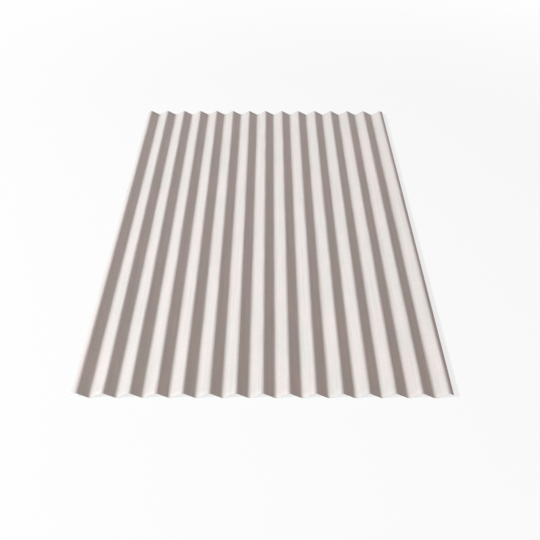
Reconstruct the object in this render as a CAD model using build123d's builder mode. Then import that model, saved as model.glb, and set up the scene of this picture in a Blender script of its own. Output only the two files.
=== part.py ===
from build123d import *
import os
from math import asin, atan2, hypot, tan

# Corrugated steel sheet, one roll-formed piece lying flat with its waves
# running along Y. X is across the waves and Z is up. The valleys stand on
# Z = 0 and the middle of the sheet is over the origin. Millimetres.

# The roll-formed wave
pitch = 76.2  # crest to crest
wave_depth = 18.0  # underside of a valley to the top of a crest
sheet_thickness = 0.6  # steel with its zinc and paint
bend_radius = 12.0  # middle of the metal, in crests and valleys alike
crest_count = 15

# The cut sheet
sheet_length = 1830.0  # along the waves
side_lip = 13.5  # past the outer crests, turned down, measured level

# Slope of the straight flanks, which run tangent from bend to bend
half_pitch = pitch / 2
middle_rise = wave_depth - sheet_thickness
centre_rise = middle_rise - 2 * bend_radius
flank_slope = asin(2 * bend_radius / hypot(half_pitch, centre_rise))
flank_slope += atan2(centre_rise, half_pitch)

# Heights where neighbouring flanks would meet if the bends were sharp
corner_rise = tan(flank_slope) * half_pitch / 2
peak_height = wave_depth / 2 + corner_rise
trough_height = wave_depth / 2 - corner_rise
lip_height = peak_height - side_lip * tan(flank_slope)

# Corners of the folded line through the middle of the metal
first_crest = -(crest_count - 1) * half_pitch
last_crest = first_crest + (crest_count - 1) * pitch
corners = [(first_crest - side_lip, lip_height)]
for crest in range(crest_count):
    crest_at = first_crest + crest * pitch
    if crest > 0:
        corners.append((crest_at - half_pitch, trough_height))
    corners.append((crest_at, peak_height))
corners.append((last_crest + side_lip, lip_height))

with BuildPart() as corrugated_sheet:
    with BuildSketch(Plane.XZ) as section:
        with BuildLine() as middle_line:
            FilletPolyline(*corners, radius=bend_radius)
        trace(line_width=sheet_thickness)
    extrude(amount=sheet_length / 2, both=True)

print("flank slope", round(flank_slope * 57.2958, 2), "degrees")
print("flat width", round(middle_line.wires()[0].length, 1), "mm")
corrugated_sheet.part.label = "corrugated_sheet"

os.makedirs("parts", exist_ok=True)
export_step(corrugated_sheet.part, "parts/corrugated_sheet.step")
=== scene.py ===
import math
import bmesh
import bpy
from mathutils import Matrix, Vector, noise


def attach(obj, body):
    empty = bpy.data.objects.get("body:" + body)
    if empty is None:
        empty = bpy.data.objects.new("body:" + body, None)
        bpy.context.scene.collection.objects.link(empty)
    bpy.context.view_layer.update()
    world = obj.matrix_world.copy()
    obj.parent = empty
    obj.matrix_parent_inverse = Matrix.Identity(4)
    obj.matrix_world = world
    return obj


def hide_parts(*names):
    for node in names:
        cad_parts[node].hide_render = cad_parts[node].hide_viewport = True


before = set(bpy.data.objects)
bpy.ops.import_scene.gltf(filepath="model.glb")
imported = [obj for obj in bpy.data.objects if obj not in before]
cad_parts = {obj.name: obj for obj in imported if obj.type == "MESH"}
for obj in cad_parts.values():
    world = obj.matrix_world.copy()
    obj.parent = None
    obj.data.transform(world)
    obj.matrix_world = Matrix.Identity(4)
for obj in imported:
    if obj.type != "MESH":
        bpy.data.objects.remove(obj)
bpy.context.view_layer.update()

print("frame loaded:", sorted(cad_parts))


def toLinear(hexCode):  # sRGB hex to the linear colour a socket takes
    parts = [int(hexCode[i:i + 2], 16) / 255 for i in (1, 3, 5)]
    straight = [p / 12.92 if p <= 0.04045 else ((p + 0.055) / 1.055) ** 2.4 for p in parts]
    return (*straight, 1.0)


def addNode(tree, kind, inputs=None, **settings):  # one node, its settings and what feeds it
    node = tree.nodes.new(kind)
    for name, value in settings.items():
        setattr(node, name, value)
    for name, value in (inputs or {}).items():
        if isinstance(value, bpy.types.Node):
            value = value.outputs[0]
        if isinstance(value, bpy.types.NodeSocket):
            tree.links.new(value, node.inputs[name])
        else:
            node.inputs[name].default_value = value
    return node


# The sheet: the frame's own wave, with finer bends, its true cut edges and the
# slight wander that rolled flanks have.
sheetShape = {
    "pitch": 0.0762,  # metres, crest to crest
    "depth": 0.018,
    "thickness": 0.0006,
    "bend": 0.012,  # radius through the middle of the metal
    "waves": 14,  # whole pitches between the outer crests
    "lip": 0.0135,  # past the outer crests
    "length": 1.83,
    "bendSteps": 5,  # edges in half a bend
    "flankCuts": 3,
    "lengthCuts": 79,
    "wander": 0.00022,  # how far a flank strays from flat
    "wanderLong": 0.19,  # length of its slow swells
    "wanderShort": 0.07,  # and of its quick ripples
    "rimRound": 0.00012,  # the shear's rolled-over edge
    "endFacing": 0.9,  # a face whose normal points this far along Y is a cut end
    "sideFacing": 0.8,  # and this far along X a cut side
}
samePoint = 1e-6  # metres, within which two points are one
pitch = sheetShape["pitch"]
halfPitch = pitch / 2
bend = sheetShape["bend"]
thickness = sheetShape["thickness"]
centreRise = sheetShape["depth"] - thickness - 2 * bend
slope = math.asin(2 * bend / math.hypot(halfPitch, centreRise)) + math.atan2(centreRise, halfPitch)
crestRadius = bend + thickness / 2  # upper face of the metal
valleyRadius = bend - thickness / 2
crestCentre = sheetShape["depth"] - crestRadius
valleyCentre = thickness + valleyRadius
nearEnd = -sheetShape["length"] / 2

# half a wave at the near end: crest bend, flank, valley bend
bm = bmesh.new()
crestTop = bm.verts.new((-halfPitch, nearEnd, sheetShape["depth"]))
crestBend = bmesh.ops.spin(
    bm, geom=[crestTop], cent=(-halfPitch, nearEnd, crestCentre), axis=(0, 1, 0),
    angle=slope, steps=sheetShape["bendSteps"], use_merge=False)
flankStart = [g for g in crestBend["geom_last"] if isinstance(g, bmesh.types.BMVert)]
flankRun = halfPitch - (crestRadius + valleyRadius) * math.sin(slope)
flank = bmesh.ops.extrude_vert_indiv(bm, verts=flankStart)
bmesh.ops.translate(bm, verts=flank["verts"], vec=(flankRun, 0, -flankRun * math.tan(slope)))
bmesh.ops.spin(
    bm, geom=flank["verts"], cent=(0, nearEnd, valleyCentre), axis=(0, 1, 0),
    angle=-slope, steps=sheetShape["bendSteps"], use_merge=False)
bmesh.ops.subdivide_edges(bm, edges=flank["edges"], cuts=sheetShape["flankCuts"])

# the other half, then wave beside wave until both side edges are passed
bmesh.ops.mirror(bm, geom=bm.verts[:] + bm.edges[:], merge_dist=samePoint, axis="X")
oneWave = bm.verts[:] + bm.edges[:]
reach = sheetShape["waves"] // 2 + 1
for step in range(1, 2 * reach):
    copy = bmesh.ops.duplicate(bm, geom=oneWave)["geom"]
    copyVerts = [g for g in copy if isinstance(g, bmesh.types.BMVert)]
    bmesh.ops.translate(bm, verts=copyVerts, vec=(step * pitch, 0, 0))
bmesh.ops.translate(bm, verts=bm.verts[:], vec=((0.5 - reach) * pitch, 0, 0))
bmesh.ops.remove_doubles(bm, verts=bm.verts[:], dist=samePoint)

# side edges, a little past the outer crests
sideCut = (reach - 1) * pitch + sheetShape["lip"] + thickness / 2 * math.sin(slope)
for side in (-1, 1):
    bmesh.ops.bisect_plane(
        bm, geom=bm.verts[:] + bm.edges[:], plane_co=(side * sideCut, 0, 0),
        plane_no=(side, 0, 0), clear_outer=True, dist=samePoint)

# drawn out along the waves
drawn = bmesh.ops.extrude_edge_only(bm, edges=bm.edges[:])
drawnVerts = [g for g in drawn["geom"] if isinstance(g, bmesh.types.BMVert)]
bmesh.ops.translate(bm, verts=drawnVerts, vec=(0, sheetShape["length"], 0))
longEdges = [e for e in bm.edges if e.calc_length() > sheetShape["length"] / 2]
bmesh.ops.subdivide_edges(bm, edges=longEdges, cuts=sheetShape["lengthCuts"], use_grid_fill=True)
bmesh.ops.recalc_face_normals(bm, faces=bm.faces[:])
if sum(f.normal.z for f in bm.faces) < 0:
    bmesh.ops.reverse_faces(bm, faces=bm.faces[:])
print("skin drawn out:", len(bm.faces), "faces")

# rolled steel is never quite flat: each flank wanders by a fraction of a millimetre
slowStep, quickStep = 7.3, 3.1  # how far apart in the noise two flanks beside each other are
slowSlice, quickSlice = 0.4, 5.2
for v in bm.verts:
    fromCrest = abs((v.co.x / pitch + 0.5) % 1 - 0.5) * 2  # 0 on a crest, 1 in a valley
    onFlank = math.sin(math.pi * fromCrest) ** 2
    whichFlank = math.floor(v.co.x / halfPitch)
    swell = Vector((whichFlank * slowStep, v.co.y / sheetShape["wanderLong"], slowSlice))
    ripple = Vector((whichFlank * quickStep, v.co.y / sheetShape["wanderShort"], quickSlice))
    stray = noise.noise(swell) + 0.5 * noise.noise(ripple)
    v.co.z += sheetShape["wander"] * onFlank * stray
bmesh.ops.solidify(bm, geom=bm.faces[:], thickness=thickness)
bm.normal_update()

# which coat each face shows: 0 paint, 1 backing coat, 2 sheared edge
for f in bm.faces:
    sheared = abs(f.normal.y) > sheetShape["endFacing"] or abs(f.normal.x) > sheetShape["sideFacing"]
    f.material_index = 2 if sheared else 0 if f.normal.z > 0 else 1
rim = [e for e in bm.edges if {f.material_index for f in e.link_faces} in ({0, 2}, {1, 2})]
bmesh.ops.bevel(
    bm, geom=rim, offset=sheetShape["rimRound"], offset_type="OFFSET", affect="EDGES",
    segments=1, profile=0.5, material=-1, clamp_overlap=True)
for f in bm.faces:
    f.smooth = f.material_index != 2
for e in bm.edges:
    e.smooth = len({f.material_index for f in e.link_faces}) == 1
sheetMesh = bpy.data.meshes.new("rolledSheet")
bm.to_mesh(sheetMesh)
bm.free()
rolledSheet = bpy.data.objects.new("rolledSheet", sheetMesh)
bpy.context.scene.collection.objects.link(rolledSheet)
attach(rolledSheet, "root")
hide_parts("corrugated_sheet")
print("sheet made:", len(sheetMesh.polygons), "faces")


def perMetre(millimetres):  # the noise scale whose features are this wide
    return 1000 / millimetres


def startMaterial(name):  # an empty material and its tree
    material = bpy.data.materials.new(name)
    material.use_nodes = True
    material.node_tree.nodes.clear()
    return material, material.node_tree


# Polyester paint, coil coated on zinced steel, baked, then rolled to shape: an even
# satin off-white with the faint peel of the coating roller, drawn-out lines from the
# forming rolls, a thin film of dust in the valleys and crests burnished in the stack.
paintLook = {
    "paint": "#d7cec9",
    "paintCool": "#d1cdc7",  # a shade cooler, where the film is thinner
    "dust": "#a99c92",
    "rub": "#dedad6",  # crests that other sheets have slid on
    "gloss": 0.36,
    "dustGloss": 0.55,
    "cloudSize": 170.0,  # millimetres, as the next four
    "streakWidth": 9.0,
    "lineWidth": 4.0,  # roll lines, a millimetre in truth, drawn coarser so that they show
    "mottleSize": 10.0,
    "peelSize": 3.0,  # orange peel, drawn coarser for the same reason
    "streakDrawn": 0.05,  # scale along the waves, against 1 across them
    "lineDrawn": 0.012,
    "lineMost": 0.2,  # shares of the dust's or the rub's colour, where each is strongest
    "mottleMost": 0.13,
    "dustMost": 0.32,
    "rubMost": 0.7,
    "dustFull": 0.0008,  # metres above the floor, up to which the dust is thickest
    "dustTop": 0.007,  # and where it ends
    "rubFrom": 0.0168,
    "rubFull": 0.0178,
}
coilPaint, tree = startMaterial("coilCoatedPolyesterPaint")
place = addNode(tree, "ShaderNodeTexCoord").outputs["Object"]
axes = addNode(tree, "ShaderNodeSeparateXYZ", {0: place})
drawnOut = addNode(tree, "ShaderNodeMapping", {
    "Vector": place, "Scale": (1, paintLook["streakDrawn"], 1)})
farDrawn = addNode(tree, "ShaderNodeMapping", {
    "Vector": place, "Scale": (1, paintLook["lineDrawn"], 1)})
clouds = addNode(tree, "ShaderNodeTexNoise", {
    "Vector": place, "Scale": perMetre(paintLook["cloudSize"]), "Detail": 3})
streaks = addNode(tree, "ShaderNodeTexNoise", {
    "Vector": drawnOut, "Scale": perMetre(paintLook["streakWidth"]), "Detail": 3, "Roughness": 0.6})
rollLines = addNode(tree, "ShaderNodeTexNoise", {
    "Vector": farDrawn, "Scale": perMetre(paintLook["lineWidth"]), "Detail": 2})
mottle = addNode(tree, "ShaderNodeTexNoise", {
    "Vector": place, "Scale": perMetre(paintLook["mottleSize"]), "Detail": 4, "Roughness": 0.65})

# the film itself: broad clouds, then lines and mottling a few percent deep
cloudShare = addNode(tree, "ShaderNodeMapRange", {"Value": clouds, "From Min": 0.38, "From Max": 0.62})
film = addNode(tree, "ShaderNodeMix", {
    0: cloudShare, 6: toLinear(paintLook["paint"]), 7: toLinear(paintLook["paintCool"])},
    data_type="RGBA").outputs[2]
lineShare = addNode(tree, "ShaderNodeMapRange", {
    "Value": rollLines, "From Min": 0.42, "From Max": 0.66, "To Max": paintLook["lineMost"]})
lined = addNode(tree, "ShaderNodeMix", {
    0: lineShare, 6: film, 7: toLinear(paintLook["dust"])}, data_type="RGBA").outputs[2]
mottleShare = addNode(tree, "ShaderNodeMapRange", {
    "Value": mottle, "From Min": 0.42, "From Max": 0.68, "To Max": paintLook["mottleMost"]})
mottled = addNode(tree, "ShaderNodeMix", {
    0: mottleShare, 6: lined, 7: toLinear(paintLook["dust"])}, data_type="RGBA").outputs[2]

# dust lies low, thicker along the streaks
low = addNode(tree, "ShaderNodeMapRange", {
    "Value": axes.outputs["Z"], "From Min": paintLook["dustFull"],
    "From Max": paintLook["dustTop"], "To Min": paintLook["dustMost"], "To Max": 0.0},
    interpolation_type="SMOOTHSTEP")
streakShare = addNode(tree, "ShaderNodeMapRange", {
    "Value": streaks, "From Min": 0.34, "From Max": 0.66, "To Min": 0.25})
settled = addNode(tree, "ShaderNodeMath", {0: low, 1: streakShare}, operation="MULTIPLY")
dusty = addNode(tree, "ShaderNodeMix", {
    0: settled, 6: mottled, 7: toLinear(paintLook["dust"])}, data_type="RGBA").outputs[2]

# crests burnished in broken lines where a stack has slid
high = addNode(tree, "ShaderNodeMapRange", {
    "Value": axes.outputs["Z"], "From Min": paintLook["rubFrom"],
    "From Max": paintLook["rubFull"]})
slidOn = addNode(tree, "ShaderNodeMapRange", {
    "Value": streaks, "From Min": 0.5, "From Max": 0.6, "To Max": paintLook["rubMost"]})
rubbed = addNode(tree, "ShaderNodeMath", {0: high, 1: slidOn}, operation="MULTIPLY")
worn = addNode(tree, "ShaderNodeMix", {
    0: rubbed, 6: dusty, 7: toLinear(paintLook["rub"])}, data_type="RGBA").outputs[2]

# orange peel and roll lines as a fine relief, duller where dust lies
peel = addNode(tree, "ShaderNodeTexNoise", {
    "Vector": place, "Scale": perMetre(paintLook["peelSize"]), "Detail": 2})
peelBump = addNode(tree, "ShaderNodeBump", {"Height": peel, "Strength": 0.15, "Distance": 0.0002})
lineBump = addNode(tree, "ShaderNodeBump", {
    "Height": rollLines, "Strength": 0.4, "Distance": 0.0003, "Normal": peelBump})
dulled = addNode(tree, "ShaderNodeMapRange", {
    "Value": settled, "From Min": 0.0, "From Max": 0.4,
    "To Min": paintLook["gloss"], "To Max": paintLook["dustGloss"]})
satin = addNode(tree, "ShaderNodeBsdfPrincipled", {
    "Base Color": worn, "Roughness": dulled, "IOR": 1.5, "Normal": lineBump})
addNode(tree, "ShaderNodeOutputMaterial", {"Surface": satin})

# Thin epoxy backing coat on the underside, roller coated and baked: a flat pale grey
# with hardly any gloss, thin in lines so that the darker primer shows.
backLook = {
    "coat": "#b6b3ae",
    "thin": "#a09e99",
    "gloss": 0.58,
    "streakWidth": 11.0,  # millimetres, as the next
    "mottleSize": 9.0,
    "streakDrawn": 0.04,  # scale along the waves
}
backCoat, tree = startMaterial("epoxyBackingCoat")
place = addNode(tree, "ShaderNodeTexCoord").outputs["Object"]
drawnOut = addNode(tree, "ShaderNodeMapping", {
    "Vector": place, "Scale": (1, backLook["streakDrawn"], 1)})
streaks = addNode(tree, "ShaderNodeTexNoise", {
    "Vector": drawnOut, "Scale": perMetre(backLook["streakWidth"]), "Detail": 4, "Roughness": 0.65})
mottle = addNode(tree, "ShaderNodeTexNoise", {
    "Vector": place, "Scale": perMetre(backLook["mottleSize"]), "Detail": 3})
patches = addNode(tree, "ShaderNodeMath", {0: streaks, 1: mottle}, operation="ADD")
thinShare = addNode(tree, "ShaderNodeMapRange", {"Value": patches, "From Min": 0.8, "From Max": 1.3})
coatTone = addNode(tree, "ShaderNodeMix", {
    0: thinShare, 6: toLinear(backLook["coat"]), 7: toLinear(backLook["thin"])},
    data_type="RGBA").outputs[2]
grain = addNode(tree, "ShaderNodeBump", {"Height": patches, "Strength": 0.3, "Distance": 0.0002})
flatCoat = addNode(tree, "ShaderNodeBsdfPrincipled", {
    "Base Color": coatTone, "Roughness": backLook["gloss"], "IOR": 1.5, "Normal": grain})
addNode(tree, "ShaderNodeOutputMaterial", {"Surface": flatCoat})

# Guillotined steel with zinc smeared over it by the blade: dull grey metal, torn in
# fine dark marks.
edgeLook = {
    "zinc": "#837d77",
    "steel": "#55504c",
    "gloss": 0.48,
    "tearSize": 2.0,  # millimetres
}
cutEdge, tree = startMaterial("shearedZincedSteel")
place = addNode(tree, "ShaderNodeTexCoord").outputs["Object"]
tears = addNode(tree, "ShaderNodeTexNoise", {
    "Vector": place, "Scale": perMetre(edgeLook["tearSize"]), "Detail": 3, "Roughness": 0.6})
tornShare = addNode(tree, "ShaderNodeMapRange", {"Value": tears, "From Min": 0.4, "From Max": 0.62})
torn = addNode(tree, "ShaderNodeMix", {
    0: tornShare, 6: toLinear(edgeLook["zinc"]), 7: toLinear(edgeLook["steel"])},
    data_type="RGBA").outputs[2]
bare = addNode(tree, "ShaderNodeBsdfPrincipled", {
    "Base Color": torn, "Metallic": 1.0, "Roughness": edgeLook["gloss"]})
addNode(tree, "ShaderNodeOutputMaterial", {"Surface": bare})
for material in (coilPaint, backCoat, cutEdge):
    sheetMesh.materials.append(material)
print("materials made:", [m.name for m in sheetMesh.materials])

# Pale floor, one soft lamp from the left and an even sky
studio = {
    "floor": "#f4f4f4",
    "floorHalf": 30.0,  # metres
    "floorDrop": 0.0004,  # under the valleys, so that nothing lies in its plane
    "plainWhite": 0.8,  # share of it that the camera and reflections see near the sheet
    "whiteGrows": (1.4, 3.2),  # metres from the middle, between which that share grows to 1
    "sky": "#ffd1c4",
    "skyStrength": 0.21,
    "keyFrom": (-9.6, -3.4, 6.6),  # metres, as its size, and it aims at the middle
    "keySize": 1.2,
    "keyWatts": 2110,
    "keyTint": "#f0f9ff",
}
floorMesh = bpy.data.meshes.new("floor")
fb = bmesh.new()
bmesh.ops.create_grid(fb, x_segments=1, y_segments=1, size=studio["floorHalf"])
bmesh.ops.translate(fb, verts=fb.verts[:], vec=(0, 0, -studio["floorDrop"]))
fb.to_mesh(floorMesh)
fb.free()
floor = bpy.data.objects.new("floor", floorMesh)
bpy.context.scene.collection.objects.link(floor)


def whiteForView(tree):  # 1 for rays from the camera, a mirror or glass, 0 for light
    rays = addNode(tree, "ShaderNodeLightPath").outputs
    seen = addNode(tree, "ShaderNodeMath", {
        0: rays["Is Camera Ray"], 1: rays["Is Glossy Ray"]}, operation="MAXIMUM")
    return addNode(tree, "ShaderNodeMath", {
        0: seen, 1: rays["Is Transmission Ray"]}, operation="MAXIMUM")


# the floor keeps the sheet's shadow nearby and turns plain white further off
paleFloor, tree = startMaterial("paleFloor")
fromSheet = addNode(tree, "ShaderNodeVectorMath", {
    0: addNode(tree, "ShaderNodeTexCoord").outputs["Object"]}, operation="LENGTH")
fade = addNode(tree, "ShaderNodeMapRange", {
    "Value": fromSheet.outputs["Value"], "From Min": studio["whiteGrows"][0],
    "From Max": studio["whiteGrows"][1], "To Min": studio["plainWhite"]})
whiteShare = addNode(tree, "ShaderNodeMath", {0: whiteForView(tree), 1: fade}, operation="MULTIPLY")
matt = addNode(tree, "ShaderNodeBsdfDiffuse", {"Color": toLinear(studio["floor"])})
white = addNode(tree, "ShaderNodeEmission", {"Color": (1, 1, 1, 1), "Strength": 1.0})
both = addNode(tree, "ShaderNodeMixShader", {0: whiteShare, 1: matt, 2: white})
addNode(tree, "ShaderNodeOutputMaterial", {"Surface": both})
floorMesh.materials.append(paleFloor)

world = bpy.data.worlds.new("studio")
bpy.context.scene.world = world
world.use_nodes = True
tree = world.node_tree
tree.nodes.clear()
sky = addNode(tree, "ShaderNodeBackground", {
    "Color": toLinear(studio["sky"]), "Strength": studio["skyStrength"]})
white = addNode(tree, "ShaderNodeBackground", {"Color": (1, 1, 1, 1), "Strength": 1.0})
mixed = addNode(tree, "ShaderNodeMixShader", {0: whiteForView(tree), 1: sky, 2: white})
addNode(tree, "ShaderNodeOutputWorld", {"Surface": mixed})

keyData = bpy.data.lights.new("key", "AREA")
keyData.shape = "DISK"
keyData.size = studio["keySize"]
keyData.energy = studio["keyWatts"]
keyData.color = toLinear(studio["keyTint"])[:3]
key = bpy.data.objects.new("key", keyData)
key.location = studio["keyFrom"]
key.rotation_euler = (-key.location).to_track_quat("-Z", "Y").to_euler()
bpy.context.scene.collection.objects.link(key)

# the photograph's own point of view
view = {
    "eye": (0.0194, -2.5257, 1.6619),  # metres
    "tiltDown": 36.79,  # degrees, as the next two
    "turnRight": 0.055,
    "roll": 0.12,
    "lens": 53.23,  # millimetres, on the sensor below
    "sensor": 36.0,
    "nearest": 0.05,  # metres
}
cameraData = bpy.data.cameras.new("camera")
cameraData.lens = view["lens"]
cameraData.sensor_width = view["sensor"]
cameraData.clip_start = view["nearest"]
camera = bpy.data.objects.new("camera", cameraData)
camera.location = view["eye"]
facing = Matrix.Rotation(math.radians(-view["turnRight"]), 3, "Z")
facing @= Matrix.Rotation(math.radians(90 - view["tiltDown"]), 3, "X")
facing @= Matrix.Rotation(math.radians(view["roll"]), 3, "Z")
camera.rotation_euler = facing.to_euler()
bpy.context.scene.collection.objects.link(camera)
bpy.context.scene.camera = camera
bpy.context.scene.view_settings.view_transform = "Standard"
print("studio set")
